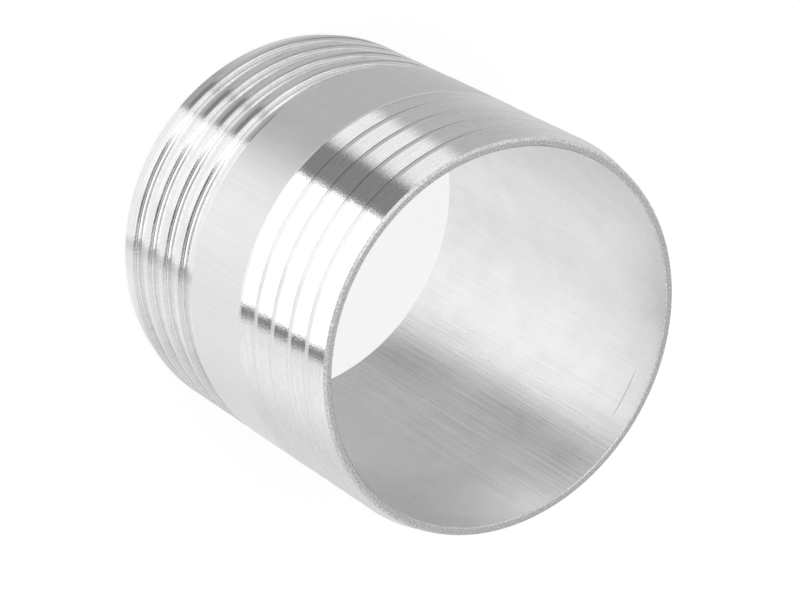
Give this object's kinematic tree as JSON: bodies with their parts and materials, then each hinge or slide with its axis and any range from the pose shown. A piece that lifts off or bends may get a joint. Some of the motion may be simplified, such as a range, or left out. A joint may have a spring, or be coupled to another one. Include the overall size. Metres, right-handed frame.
{
  "type": "hose connector",
  "caption": "Straight double-ended hose connector: a short metal tube with a barbed tail turned on each end, a plain band between them and an open bore.",
  "frame": {"origin": "centre of the lower end face's plane, on the tube's axis", "axes": "+Z along the tube's axis, from the lower end to the upper end; X and Y are free, because the part is round"},
  "size_m": [0.076, 0.076, 0.0725],
  "materials": {
    "aluminium": "drawn tube in the middle and in the bore, turned tails, sawn and deburred ends"
  },
  "bodies": {
    "root": {"hose_connector": "aluminium"}
  },
  "joints": []
}
